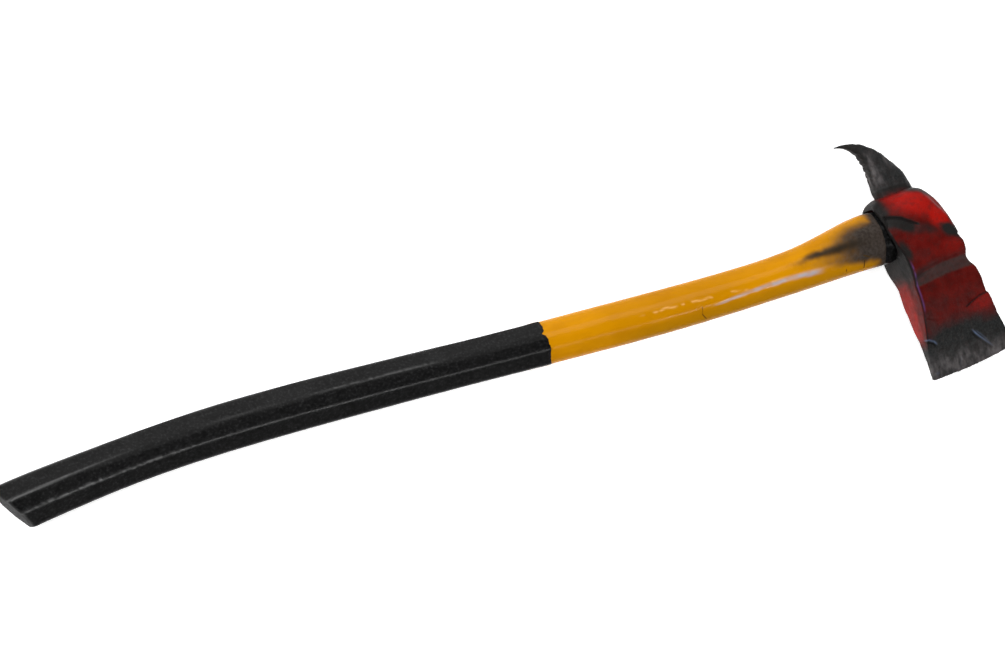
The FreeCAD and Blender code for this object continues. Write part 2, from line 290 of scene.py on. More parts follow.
LEAN = math.radians(6)
LEAN_FROM_X = 397.0
EDGE_ACROSS = -107.4
EDGE_BOW = 2.1
LOBE_ACROSS = 50.5
LOBE_ROUND = 8.5
SOCKET_FLOOR_X = 363.5
SOCKET_TOP_Y = 47.6
EYE_Y = 24.0
EYE_DEPTH = 42.1
EYE_THICKNESS = 26.1
EYE_FLARE = 0.03
EYE_CUT_X = (362.0, 445.0)
EYE_POINTS = 96
ROW_STEP = 0.8
CHEEK_POINTS = 112
CROWN_POINTS = 34
WALL_POINTS = 52
CORNER_POINTS = 6

rim_x = curve(
    (-111, 368.4), (-77, 369.6), (-40, 369.4), (-24, 368.6), (-11, 366.6), (3, 364), (14, 359),
    (27, 355.2), (43, 354), (51, 353.5), (57, 356), (61, 360),
)
crown_x = curve(
    (-102, 457.4), (-84.5, 452.6), (-67.5, 446.4), (-54, 441.4), (-47, 438.2), (-34, 436.2),
    (-25, 433.8), (-17.5, 428), (-13.5, 426.4), (-7, 427.4), (-1.5, 427.4), (5, 424.8),
    (7.5, 424.6), (17, 422.8), (30, 419.3), (43, 414), (54, 406.5), (61, 399),
)
cheek_half = curve(
    (-107.4, 0.9), (-97, 2.3), (-87, 4.2), (-77, 6.5), (-67, 9.9), (-57, 12.9), (-47, 15.2),
    (-38, 16.5), (-31, 16.3), (-25.5, 16.0), (-20, 17.9), (-14, 20.2), (-8, 21.7), (-3, 22),
    (28, 22), (35, 21.7), (42, 20.6), (48, 19), (55, 16), (62, 11),
)
rim_round = curve(
    (-107, 0.8), (-60, 1.2), (-25, 1.6), (0, 2), (20, 2.4), (36, 3.2), (46, 6), (54, 8),
)
crown_round = curve((-107, 1), (-70, 2), (-30, 3), (-12, 4), (5, 5), (25, 8), (50, 11))
socket_half = curve((-2.8, 7.5), (6, 13.5), (14, 18.9), (31, 18.9), (39, 14), (47.6, 7.5))


def row_y(across, x):
    return (across + (x - LEAN_FROM_X) * math.sin(LEAN)) / math.cos(LEAN)


def across_of(points):
    return points[:, 1] * math.cos(LEAN) - (points[:, 0] - LEAN_FROM_X) * math.sin(LEAN)


def side_of_row(side, across):
    """The x of a row's end, where it meets one side of the head."""
    x = LEAN_FROM_X
    for _ in range(8):
        x = float(side(row_y(across, x)))
    return x


def head_row(across, inset):
    """One closed section of the head, drawn in by an inset on all sides."""
    half = max(float(cheek_half(across)) - inset, 0.3)
    low_x = side_of_row(rim_x, across) + inset
    high_x = side_of_row(crown_x, across) - inset
    low_round = min(float(rim_round(across)), 0.85 * half)
    high_round = min(float(crown_round(across)), 0.85 * half)
    quarter = np.linspace(0, math.pi / 2, CORNER_POINTS + 2)[1:-1]
    face_x = np.linspace(low_x + low_round, high_x - high_round, CHEEK_POINTS)
    crown_z = np.linspace(half - high_round, high_round - half, CROWN_POINTS)
    wall_z = np.linspace(low_round - half, half - low_round, WALL_POINTS)
    bend_x = high_x - high_round + high_round * np.sin(quarter)
    bend_z = half - high_round + high_round * np.cos(quarter)
    turn_x = low_x + low_round - low_round * np.sin(quarter)
    turn_z = half - low_round + low_round * np.cos(quarter)
    x = np.concatenate([
        face_x, bend_x, np.full(CROWN_POINTS, high_x), bend_x[::-1],
        face_x[::-1], turn_x, np.full(WALL_POINTS, low_x), turn_x[::-1],
    ])
    z = np.concatenate([
        np.full(CHEEK_POINTS, half), bend_z, crown_z, -bend_z[::-1],
        np.full(CHEEK_POINTS, -half), -turn_z, wall_z, turn_z[::-1],
    ])
    share = np.clip((x - low_x) / (high_x - low_x), 0, 1)
    bow = EDGE_BOW * 4 * share * (1 - share) * ramp(across, -80, EDGE_ACROSS)
    y = row_y(across, x) - bow
    in_socket = (x < SOCKET_FLOOR_X) & (np.abs(z) < socket_half(y)) & (y < SOCKET_TOP_Y)
    x = np.where(in_socket, SOCKET_FLOOR_X, x)
    return np.stack([x, y, z + MIDDLE_Z], 1)


# Damage on the cheek that faces up: each path is in x and y, and a gouge also has a depth and a
# width. A nick has its y, depth and width.
CREASE = [(353, 39.5), (363, 37.4), (372, 34), (380, 28.6), (389.5, 22.8)]
VALLEY_TOP = [(370, -20.5), (381, -16.5), (396, -13.6), (424, -11.8)]
VALLEY_LOW = [(370, -29), (385, -27.3), (404, -24.6), (433, -23.6)]
CUT = [(415, -57.5), (423, -54), (430, -51.5), (439, -50)]
SHINY_GOUGES = [
    ([(415.5, -79), (421.5, -86), (427.5, -92), (436, -100.5)], 1.2, 1.5),
    ([(419.5, -80), (427, -87.5), (433, -95)], 0.5, 0.9),
    ([(365, -76.8), (371.5, -77.8), (376, -80), (379, -83.5)], 0.9, 1.3),
    ([(401.5, -97), (399, -102), (396.5, -108)], 0.5, 1.2),
]
SHALLOW_GOUGES = [
    ([(385, -101), (383.5, -106)], 0.35, 1.0),
    ([(372, -57), (384, -60.5), (392, -60)], 0.3, 1.2),
    ([(404, 6), (413, 1.5), (425, -1)], 0.35, 1.3),
]
FAR_GOUGES = [
    ([(376, -70), (389, -76), (400, -78)], 0.8, 1.3),
    ([(424, -84), (414, -94), (408, -103)], 0.7, 1.1),
    ([(366, 12), (380, 7), (392, 8.5)], 0.5, 1.4),
    ([(398, 36), (406, 27), (409, 17)], 0.6, 1.6),
    ([(384, -34), (402, -37), (416, -33)], 0.5, 1.6),
]
CROWN_NICKS = [(6.8, 1.1, 1.0), (-48.6, 1.5, 0.9), (-70, 0.5, 1.2), (-91, 0.6, 1.0)]
UNDERSIDE_NICKS = [(-77, 0.7, 0.9), (-52, 0.35, 2.5), (-95, 0.4, 1.0)]
PICK_NICKS = [(97.5, 1.5, 1.5), (92, 0.7, 0.8), (87, 1.2, 1.3), (81, 0.9, 1.0), (75.5, 0.6, 0.8)]


def bell(distance, width):
    """1 at no distance, falling off smoothly over a width."""
    return np.exp(-((distance / width) ** 2))


def nicked(y, marks):
    """How deep each place along Y lies in a row of nicks."""
    return sum(depth * bell(y - middle, width) for middle, depth, width in marks)


def crease_push(flat):
    """A thin fold under the dome, with sunk metal below it and a raised lip above it."""
    gap, along, side = near_path(flat, CREASE)
    below = ramp(side, 0.9, -0.5)
    sunk = 1.9 * below * np.exp(-gap / 11) + 0.9 * bell(gap, 1.1)
    raised = 0.7 * (1 - below) * np.exp(-gap / 5)
    return ramp(along, 1, 0.8) * (raised - sunk)


def cut_push(flat):
    """A thin cut with metal raised on its blade side."""
    gap, _, side = near_path(flat, CUT)
    raised = 0.45 * ramp(side, 0.4, -0.4) * np.exp(-gap / 5) * ramp(gap, 12, 6)
    return raised - 0.9 * groove(flat, CUT, 0.8)


def gouge_push(flat, gouges):
    """Gouges with the metal from them raised along both sides."""
    push = np.zeros(len(flat))
    for path, depth, width in gouges:
        hollow = groove(flat, path, width)
        lip = groove(flat, path, 2.2 * width) - hollow
        push += depth * (0.35 * lip - hollow)
    return push


def dent_head(piece):
    """Give the plain head its domed lobe, its damage and its forged lumps."""
    points, normals = read(piece)
    flat = points[:, :2]
    across = across_of(points)
    up = ramp(normals[:, 2], 0.2, 0.7)
    down = ramp(-normals[:, 2], 0.2, 0.7)
    cheek = np.maximum(up, down)
    crown = ramp(normals[:, 0], 0.35, 0.8)
    underside = ramp(-normals[:, 0], 0.35, 0.8) * ramp(points[:, 1], 0, -12)
    room = np.clip(cheek_half(across) / 9, 0.05, 1)

    dome = ramp(across, 22, 40) * np.clip(np.abs(points[:, 0] - 384) / 28, 0, 1.2) ** 2
    valley = 0.35 * groove(flat, VALLEY_LOW, 2.0) - 0.55 * groove(flat, VALLEY_TOP, 1.8)
    push = cheek * (valley - 2.6 * dome)
    push += up * (crease_push(flat) + cut_push(flat))
    push += up * room * gouge_push(flat, SHINY_GOUGES + SHALLOW_GOUGES)
    push += down * room * gouge_push(flat, FAR_GOUGES)
    push -= crown * nicked(points[:, 1], CROWN_NICKS)
    push -= underside * nicked(points[:, 1], UNDERSIDE_NICKS)

    steady = 1 - 0.9 * ramp(points[:, 2], 2.5, 0.5)
    lumps = 0.30 * noise(points, 26, 1) + 0.22 * noise(points, 11, 2) + 0.10 * noise(points, 5, 3)
    grain = 0.045 * noise(points, 2.2, 4) + 0.03 * noise(points, 1.3, 5)
    push += room * steady * (lumps + grain)
    by_socket = np.abs(points[:, 2] - MIDDLE_Z) < socket_half(points[:, 1]) + 1.5
    by_socket &= (points[:, 0] < SOCKET_FLOOR_X + 1) & (np.abs(points[:, 1] - 22) < 27)
    push[by_socket] = 0
    edge = ramp(across, EDGE_ACROSS + 3, EDGE_ACROSS)
    points[:, 1] += edge * 0.35 * (noise(points, 4, 6) + noise(points, 1.7, 7))
    press(piece, points, normals, push)


PICK_POINTS = 76
PICK_RINGS = 150
# The pick from root to tip: half its thickness, and its outer and inner edges in x and y.
PICK_HALVES = (11.5, 10.6, 9.6, 8.6, 7.7, 6.5, 5.0, 3.6, 2.0, 0.7)
PICK_OUTER = (
    (405, 42), (403, 52), (400, 62), (396.7, 73), (390, 83),
    (381.5, 93.4), (370, 103.2), (358, 108.4), (345, 110.1), (338.6, 109.7),
)
PICK_INNER = (
    (367, 42), (366, 51), (364.3, 60), (363.2, 69.5), (362.4, 79),
    (360.4, 88.5), (357.4, 97), (352.5, 103.2), (345, 107.3), (338.4, 108.7),
)


def along_pick(values):
    """A smooth function of the number of the station along the pick."""
    return curve(*enumerate(values))


def squarer(values, power):
    """Push sines or cosines towards 1 and -1, which squares off a circle."""
    return np.sign(values) * np.abs(values) ** power


def pick_rings():
    """Rounded four-sided sections of the pick, a little thinner towards its outer edge."""
    outer_x, outer_y = (along_pick(values) for values in zip(*PICK_OUTER))
    inner_x, inner_y = (along_pick(values) for values in zip(*PICK_INNER))
    half = along_pick(PICK_HALVES)
    angle = circle(PICK_POINTS)
    wide = squarer(np.cos(angle), 0.62)
    tall = squarer(np.sin(angle), 0.72)
    rings = []
    for station in np.linspace(0, len(PICK_HALVES) - 1, PICK_RINGS):
        outer = np.array([outer_x(station), outer_y(station)])
        inner = np.array([inner_x(station), inner_y(station)])
        flat = (outer + inner) / 2 + wide[:, None] * (outer - inner) / 2
        height = tall * half(station) * (1 - 0.16 * wide)
        rings.append(np.column_stack([flat, height + MIDDLE_Z]))
    return np.array(rings)


def make_pick():
    """The hooked pick, with a rough surface and a nicked inner edge."""
    piece = tube("pick", pick_rings())
    points, normals = read(piece)
    size = np.clip((110.5 - points[:, 1]) / 12 + (points[:, 0] - 338) / 30, 0.08, 1)
    streaks = noise(points * (1, 0.28, 1), 3.0, 11)
    push = 0.35 * noise(points, 9, 12) + 0.32 * streaks + 0.16 * noise(points, 2.4, 13)
    push -= ramp(-normals[:, 0], 0.35, 0.8) * nicked(points[:, 1], PICK_NICKS)
    press(piece, points, normals, size * push)
    return piece


def eye_ring(x):
    """A ring round the eye, which widens towards the crown: two flats joined by half circles."""
    flare = EYE_FLARE * (x - EYE_CUT_X[0])
    angle = circle(EYE_POINTS)
    radius = (EYE_THICKNESS + flare) / 2
    reach = (EYE_DEPTH + flare) / 2 - radius
    y = EYE_Y + radius * np.cos(angle) + reach * np.sign(np.cos(angle))
    return np.stack([np.full(EYE_POINTS, x), y, radius * np.sin(angle) + MIDDLE_Z], 1)


def make_head():
    """Blade, boss and pick as one forging with a through eye."""
    rings = [head_row(EDGE_ACROSS - 0.9, 0.75), head_row(EDGE_ACROSS - 0.5, 0.35)]
    for across in np.arange(EDGE_ACROSS, LOBE_ACROSS, ROW_STEP):
        rings.append(head_row(across, 0))
    for angle in np.linspace(0, math.pi / 2, 15):
        inset = LOBE_ROUND * (1 - math.cos(angle))
        rings.append(head_row(LOBE_ACROSS + LOBE_ROUND * math.sin(angle), inset))
    piece = tube("head", np.array(rings))
    dent_head(piece)
    combine(piece, make_pick(), "UNION")
    eye = tube("eye_hole", np.array([eye_ring(x) for x in EYE_CUT_X]))
    combine(piece, eye, "DIFFERENCE")
    paint_head(piece)
    smooth(piece, 50)
    return piece


# -------- paint, soot, painted shade and painted highlights on the head

red_end_y = curve((360, -76), (372, -71), (386, -66), (412, -63.5), (430, -66), (450, -68))
dome_end_y = curve((350, 57), (362, 59.5), (376, 61), (388, 60.5), (398, 57), (406, 52), (420, 46))

# Soft oval patches: amount, middle, half lengths and turn in degrees.
# Patches of brighter red paint; on the dome the brightness is partly a painted highlight.
BRIGHT_RED_PATCHES = [
    (0.95, (389, 45), (27, 13.5), -22), (0.95, (407, 27), (16, 9), -60),
    (0.25, (413, -1), (16, 8), -8), (0.12, (385, 4), (18, 15), -8),
]
SOOT_PATCHES = [
    (1.0, (415, 12.5), (13, 6.5), -30), (1.0, (423, 10), (8, 9), 0),
    (0.6, (391, 19), (15, 6), -18), (0.95, (366, 5), (6, 12), 20), (0.35, (380, -2), (12, 8), 0),
    (0.3, (384, -45), (18, 9), 0), (0.45, (376, -60), (9, 14), 0),
]


def patches(flat, blots):
    """The strongest of some soft oval patches at each place."""
    return np.maximum.reduce([amount * blot(flat, *oval) for amount, *oval in blots])


class HeadPlaces:
    """Where each point of the head lies, how it faces, and the noise its paint wanders by."""

    def __init__(self, piece):
        points, normals = read(piece)
        self.points = points
        self.exact = points[:, :2]
        drift = np.stack([noise(points, 8, 23), noise(points, 8, 24)], 1)
        self.drifted = self.exact + 1.6 * drift
        self.x, self.y = self.exact.T
        self.wander = noise(points, 9, 21) + 0.5 * noise(points, 4, 22)
        self.upper = ramp(points[:, 2], 22, 28)
        self.cheek = np.abs(normals[:, 2])
        self.wall = ramp(-normals[:, 0], 0.5, 0.85)
        self.crown = ramp(normals[:, 0], 0.3, 0.8)
        self.past_dome = self.y - dome_end_y(self.x)
        self.from_rim = self.x - rim_x(self.y)


def red_on(at):
    """Red paint from a ragged line across the blade to the root of the pick."""
    line = red_end_y(at.x) + 1.6 * at.wander - 5 * at.wall
    return np.clip((at.y - line + 10) / 19, 0, 1) * ramp(at.past_dome, 1, -2)


def bright_red_and_highlight_on(at):
    """Brighter red on the dome, beside it, and on the raised metal under the cut; on the dome it is
    partly a painted highlight where the top faces the light.
    """
    _, _, cut_side = near_path(at.exact, CUT)
    patch = blot(at.drifted, (433, -58.5), (17, 8.5), 12) * ramp(cut_side, 0.3, -0.3)
    return np.maximum(patches(at.drifted, BRIGHT_RED_PATCHES), 0.36 * patch)


def soot_and_shade_on(at):
    """Soot patches, and painted shade in the hollows, at the lobe's left edge, round the rim beside
    the handle, where the pick starts and along the crown's upper edge.
    """
    gap, along, side = near_path(at.exact, CREASE)
    below = ramp(side, 0.8, -0.6) * ramp(along, 1.0, 0.75)
    valley_gap, _, valley_side = near_path(at.exact, VALLEY_TOP)
    shade = ramp(valley_side, -1.5, 1.5) * ramp(valley_gap, 9, 0)
    shade = np.maximum(shade, bell(valley_side, 3.5) * ramp(at.x, 396, 372))
    fringe = ramp(at.past_dome, -9, -2) * ramp(at.past_dome, 4, 1)
    # The crease, lobe edge, valley, rim, dome top and crown terms are painted shade; the patches are
    # soot.
    return np.maximum.reduce([
        below * ramp(gap + 2 * at.wander, 16, 6),
        0.95 * bell(gap, 1.4) * ramp(along, 1, 0.9),
        patches(at.drifted, SOOT_PATCHES) * at.cheek,
        0.95 * ramp(at.x + 1.5 * at.wander, 368, 357) * ramp(at.y, 32, 40),
        0.8 * shade * ramp(at.x, 412, 376) * at.cheek,
        0.85 * ramp(at.from_rim, 3.0, 0.4) * ramp(at.y, 70, 52) * ramp(at.y, -30, -8),
        0.85 * fringe,
        0.5 * at.crown * ramp(at.points[:, 2], 20, 30),
    ])


def dust_and_sheen_on(at):
    """Grey dusting and painted sheen: a pale grey band in the valley whose floor faces the light,
    and a grey sheen on the underside of the boss.
    """
    _, _, top_side = near_path(at.exact, VALLEY_TOP)
    _, _, low_side = near_path(at.exact, VALLEY_LOW)
    valley = np.minimum(ramp(top_side, 1.5, -1.5), ramp(low_side, -1.5, 2.0)) * at.cheek
    underside = at.wall * ramp(at.y, -38, -14) * ramp(at.y, 62, 54)
    return np.maximum(0.8 * valley, 0.9 * underside)


def wear_on(at):
    """Steel rubbed bare towards the cutting edge, and in streaks along the pick."""
    blade = 0.6 * ramp(at.y + 3 * at.wander, -78, -104)
    edge = 0.35 * ramp(across_of(at.points), EDGE_ACROSS + 5, EDGE_ACROSS)
    streaks = noise(at.points * (1, 0.22, 1), 3.2, 25)
    rubbed = 0.26 + 0.32 * ramp(at.x, 388, 366) * ramp(at.y, 102, 90)
    rubbed *= 0.5 + ramp(streaks + 0.5 * at.wander, -0.2, 0.8)
    return np.maximum.reduce([blade, edge, ramp(at.past_dome, 0, 2) * rubbed])


def gouge_shade_and_glint(at):
    """Painted shade in the cut and the bottoms of the deeper gouges, and a painted bluish highlight
    beside the gouges and at the heel.
    """
    dark = 0.9 * bell(near_path(at.exact, CUT)[0], 0.8)
    glint = blot(at.exact, (374.5, -107), (2.2, 1.4))
    for path, depth, width in SHINY_GOUGES:
        gap, along, side = near_path(at.exact, path)
        ends = np.clip(5 * along, 0, 1) * np.clip(5 * (1 - along), 0, 1) * ramp(gap, 6, 3)
        bottom = np.exp(-(((side + 0.2 * width) / (0.85 * width)) ** 4))
        dark = np.maximum(dark, min(1.5 * depth, 1) * bottom * ends)
        glint = np.maximum(glint, 0.8 * depth * bell(side - 1.15 * width, 0.4 * width) * ends)
    return dark, glint


def rim_shade_and_highlight(at):
    """Painted shade as a dark line down the rim of the upper cheek, and a painted purple highlight
    just inside it.
    """
    line = bell(at.from_rim - 0.7, 1.1) * ramp(at.y, 36, 26) * ramp(at.y, -88, -76)
    line *= ramp(at.wander, -1.6, -0.6)
    dashes = 0.15 + 0.6 * ramp(noise(at.points * (0.3, 1, 1), 3.5, 26), -0.4, 0.5)
    fringe = bell(at.from_rim - 2.4, 0.8) * ramp(at.y, -2, -10) * ramp(at.y, -58, -45)
    return 0.8 * line, fringe * dashes


def paint_head(piece):
    """Where the head is red and where that red is brighter, where soot, dusting and bare steel show,
    and where shade, sheen and highlights are painted.
    """
    at = HeadPlaces(piece)
    dark, glint = gouge_shade_and_glint(at)
    rim_shade, purple = rim_shade_and_highlight(at)
    masks = {
        "red": red_on(at),
        "bright_red_and_highlight": bright_red_and_highlight_on(at) * at.upper,
        # Soot patches together with painted shade in the hollows and along the edges.
        "soot": soot_and_shade_on(at) + 0.06 * at.wander,
        "dust_and_sheen": dust_and_sheen_on(at),
        "worn": wear_on(at),
        # Where the underside wall's red is painted lighter, as if lit from that side.
        "wall": at.wall * ramp(at.y, 5, -5),
        # Painted shade in the cut, the gouges and along the rim.
        "dark": np.maximum(dark, rim_shade) * at.upper,
        "glint": glint * at.upper,
        # A painted purple highlight just inside the rim.
        "purple": purple * at.upper,
    }
    for name, values in masks.items():
        mask(piece, name, values)


# -------- handle, grip and collar

TURNS = 104
SKIN_FLATNESS = 0.78
SKIN_REACH = 0.08
BUTT_SLANT = math.tan(math.radians(32))
BUTT_INWARD = Vector((1, BUTT_SLANT, 0)).normalized()
GRIP_END = 21.0
GRIP_WALL = 2.45
GRIP_FILM = 0.34
JACKET_END = 352.0
COLLAR_LENGTH = SOCKET_FLOOR_X - JACKET_END
BUTT_RING_SHARES = (
    0.12, 0.3, 0.45, 0.58, 0.68, 0.76, 0.82, 0.87, 0.91, 0.94, 0.965, 0.985, 0.995,
)

middle_y = curve(
    (-470, 8.2), (-395, 17.1), (-320, 23), (-245, 24.8), (-170, 23.6), (-95, 21.3), (-20, 18.5),
    (55, 16.3), (130, 14.5), (205, 14.1), (280, 16.9), (316, 20.5), (352, 22.4), (364, 22.6),
)


def tree_of(node):
    """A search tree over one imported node, and over nothing else."""
    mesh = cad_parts[node].data
    mesh.calc_loop_triangles()
    return BVHTree.FromPolygons(
        [vertex.co for vertex in mesh.vertices],
        [tuple(triangle.vertices) for triangle in mesh.loop_triangles],
    )


def skin(tree, stations, slants=None, inside=False):
    """Rings of points on a node's outer or inner surface, one ring a station along X."""
    angles = circle(TURNS)
    slants = np.zeros(len(stations)) if slants is None else slants
    rings = []
    for x, slant in zip(stations, slants):
        centre = Vector((x, float(middle_y(x)), MIDDLE_Z)) * MM
        ring = []
        for angle in angles:
            y = math.cos(angle)
            way = Vector((-slant * y, y, SKIN_FLATNESS * math.sin(angle))).normalized()
            if inside:
                hit = tree.ray_cast(centre, way)[0]
            else:
                hit = tree.ray_cast(centre + way * SKIN_REACH, -way)[0]
            ring.append(hit / MM)
        rings.append(ring)
    return np.array(rings)


def soften(rings, strength):
    """Round the long edges of rings by averaging each point with its neighbours."""
    for _ in range(strength):
        rings = 0.5 * rings + 0.25 * (np.roll(rings, 1, axis=1) + np.roll(rings, -1, axis=1))
    return rings


def outward(rings):
    """Unit vectors from each ring's middle to its points, square to X."""
    way = rings - rings.mean(1, keepdims=True)
    way[..., 0] = 0
    return way / np.linalg.norm(way, axis=2, keepdims=True)


def beside_middle(points):
    """How far along Y points lie from the handle's middle line."""
    return points[:, 1] - middle_y(points[:, 0])


CRACKS = [
    ([(168.2, 11.6), (166.2, 7), (166, 2.5), (169, -1), (172, -4)], 0.38, 0.8),
    ([(330, 9), (329.5, 4.5), (329.2, -0.5)], 0.5, 0.8),
    ([(312.4, 6.4), (311.4, 3.6), (310.7, 0.6)], 0.4, 0.7),
    ([(327, 12.5), (331.5, 10.5), (336.5, 8)], 0.4, 1.2),
    ([(334, 11.5), (338, 8.6), (341, 8.2)], 0.3, 0.9),
]
SHEEN = [(172, 6.2), (207, 9.3), (232, 10.4), (256, 10.6), (280, 9.7), (292, 9.2)]
SOOT_STREAK = [(252, 19.8), (272, 22.4), (296, 24), (325, 23.5), (352, 21)]

soot_top_y = curve((250, 22), (289, 31), (302, 35), (317, 40), (336, 42), (347, 46), (352, 58))
soot_low_y = curve((250, 15), (292, 8), (329, 5), (343, 3), (349, -3), (352, -16))


def jacket_rings(jacket_tree, sleeve_tree):
    """The jacket's outside from its buried end to a rounded shoulder, then back down its bore."""
    buried = soften(skin(jacket_tree, np.arange(-407.5, 9, 11.9)), 2)
    lapped = soften(skin(sleeve_tree, np.arange(10.0, 23.5, 1.5)), 20)
    bare = soften(skin(jacket_tree, np.arange(25, 350.8, 1.15)), 20)
    last = soften(skin(jacket_tree, [350.9]), 20)[0]
    shoulder = []
    for angle in np.linspace(0.2, math.pi / 2, 6):
        ring = last - outward(last[None])[0] * 1.1 * (1 - math.cos(angle))
        ring[:, 0] = JACKET_END - 1.1 * (1 - math.sin(angle))
        shoulder.append(ring)
    bore = skin(jacket_tree, np.linspace(JACKET_END - 0.1, -407.4, 24), inside=True)
    bore[0, :, 0] = JACKET_END
    step = (shoulder[-1] + bore[0]) / 2
    return np.concatenate([buried, lapped, bare, shoulder, step[None], bore])


def wrinkles_on(points):
    """Two lines of flow wrinkles along the jacket: broken dashes, and a lower, beaded ridge."""
    x = points[:, 0]
    beside = beside_middle(points)
    broken = 0.7 * noise(points * (1, 0.3, 0.3), 3.4, 31) + 0.6 * noise(points, 9, 39)
    drift = 1.5 - 3.5 * ramp(x, 110, 250) + 0.9 * noise(points * (1, 0, 0), 7, 40)
    dashes = bell(beside - drift, 0.75) * ramp(x, 105, 120) * ramp(x, 262, 235)
    dashes *= ramp(broken, -0.2, 0.4)
    ridge = bell(beside + 5.2, 2.0) * ramp(x, 150, 200)
    return dashes, ridge


def cracks_on(points, up):
    """How far the cracks push the jacket in or out, and how deep in a crack each point is."""
    push = np.zeros(len(points))
    depths = np.zeros(len(points))
    for path, depth, width in CRACKS:
        crack = groove(points[:, :2], path, width) * up
        lip = groove(points[:, :2], path, 2.4 * width) * up - crack
        push += depth * (0.5 * lip - crack)
        depths = np.maximum(depths, crack * min(2 * depth, 1))
    return push, depths


def jacket_soot(points, normals, up):
    """A cloud of soot that thickens towards the head, and the dark streak through it."""
    wander = noise(points, 14, 36) + 0.6 * noise(points, 5, 37)
    x = points[:, 0]
    y = points[:, 1] + 1.2 * wander
    gap, along, _ = near_path(np.stack([x, y], 1), SOOT_STREAK)
    streak = ramp(gap, 6 + 6 * along, 0) * ramp(along, -0.1, 0.45)
    core = ramp(gap, 4 + 9 * along, 0) * ramp(along, 0.0, 0.35) * ramp(along, 1.0, 0.6) * up
    cloud = ramp(y - soot_top_y(x), 6, -10) * ramp(y - soot_low_y(x), -4, 6)
    cloud *= np.clip((x + 3 * wander - 255) / 75, 0, 1)
    near_side = np.maximum(0.55 * streak, cloud) * ramp(normals[:, 2], -0.35, 0.15)
    far_side = 0.8 * ramp(x + 7 * wander, 300, 345) * ramp(normals[:, 2], 0.1, -0.3)
    collar_end = ramp(x + 1.2 * wander, 336, JACKET_END)
    return np.maximum.reduce([near_side, far_side, collar_end]), 0.85 * core


def sheen_on(points, flecks):
    """The pale, flecked streak of glare on the jacket's lower wrinkle."""
    gap, along, _ = near_path(points[:, :2] + 0.5 * flecks[:, None], SHEEN)
    sheen = ramp(gap, 1.2 + 3.0 * along, 0.2) * ramp(along, 0, 0.15) * ramp(along, 1, 0.85)
    return sheen * (0.2 + 0.5 * along + 0.45 * ramp(flecks, -0.4, 0.4))


def make_jacket(jacket_tree, sleeve_tree):
    """The yellow jacket: a full-size visible length, then a thinner one under the sleeve."""
    piece = ring_tube("jacket", jacket_rings(jacket_tree, sleeve_tree))
    points, normals = read(piece)
    x = points[:, 0]
    seen = ramp(x, 12, 20) * ramp(x, JACKET_END, 349)
    up = ramp(normals[:, 2], -0.1, 0.3)
    dashes, ridge = wrinkles_on(points)
    crack_push, cracks = cracks_on(points, up)
    beads = noise(points * (0.5, 1, 1), 3.2, 35)
    push = 0.16 * noise(points * (0.4, 1, 1), 16, 32) + 0.05 * noise(points, 6, 33)
    push += 0.018 * noise(points, 2.4, 34)
    push += up * (0.34 * dashes + ridge * (0.22 + 0.20 * beads)) + crack_push
    press(piece, points, normals, seen * push)

    flecks = noise(points * (0.4, 1, 1), 2.6, 38)
    ridge_highlight = 0.6 * ridge * ramp(flecks, 0.1, 0.5) * ramp(x, 300, 250)
    soot, core_soot = jacket_soot(points, normals, up)
    mask(piece, "soot", soot)
    mask(piece, "core_soot", core_soot)
    mask(piece, "sheen", sheen_on(points, flecks) * up)
    # Painted highlights on the wrinkles: the dashes and the beaded lower ridge.
    mask(piece, "amber", up * np.maximum(dashes, ridge_highlight))
    mask(piece, "crack", cracks)
    # Painted shade: the jacket's lower side, turned away from the light, is painted darker.
    mask(piece, "low", 0.6 * ramp(normals[:, 1], -0.25, -0.75) * ramp(x, 60, 130))
    smooth(piece, 50)
    return piece


def butt_rings(tree, first):
    """Rings over the slanted butt face, from its middle out to the first ring of the side."""
    centre = first.mean(0)
    rings = []
    for share in BUTT_RING_SHARES:
        ring = []
        for point in centre + (first - centre) * share:
            start = Vector(point) * MM - BUTT_INWARD * 0.06
            hit = tree.ray_cast(start, BUTT_INWARD)[0]
            ring.append(hit / MM)
        rings.append(ring)
    return np.array(rings)


def ragged_end():
    """How far the grip's torn end runs on or falls short at each turn, with one deep tear."""
    angles = circle(TURNS)
    rim = np.stack([np.cos(angles), np.sin(angles), np.zeros(TURNS)], 1)
    from_tear = angles - math.radians(66)
    ragged = 0.5 * noise(rim * 3, 1, 41) + 0.45 * noise(rim * 9, 1, 42)
    return ragged - 2.2 * bell(from_tear, 0.10) - 1.3 * bell(from_tear, 0.3)


def sleeve_rings(tree):
    """The butt face, the outside, the thin torn end over the jacket, and the inside."""
    stations = np.arange(-441.5, 20, 1.15)
    slants = BUTT_SLANT * ramp(stations, -405, -436)
    sides = soften(skin(tree, stations, slants), 3)
    outer = sides + outward(sides) * 0.32 * ramp(stations, 8, 15)[:, None, None]
    stretch = ramp(stations, 4, stations[-1])[:, None]
    outer[..., 0] += stretch * (GRIP_END + ragged_end() - stations[-1])

    end = outer[-1]
    way = outward(end[None])[0]
    lip = [end - way * 0.12 + np.array([0.22, 0, 0]), end - way * GRIP_FILM + np.array([0.25, 0, 0])]
    lapped = outer[-2:-9:-1]
    film = lapped - outward(lapped) * GRIP_FILM
    backed = outer[-12::-13]
    wall = backed - outward(backed) * GRIP_WALL
    wall_end = wall[-1] - np.array(BUTT_INWARD) * 2.2
    butt = butt_rings(tree, sides[0])
    return np.concatenate([butt, outer, lip, film, wall, wall_end[None]])


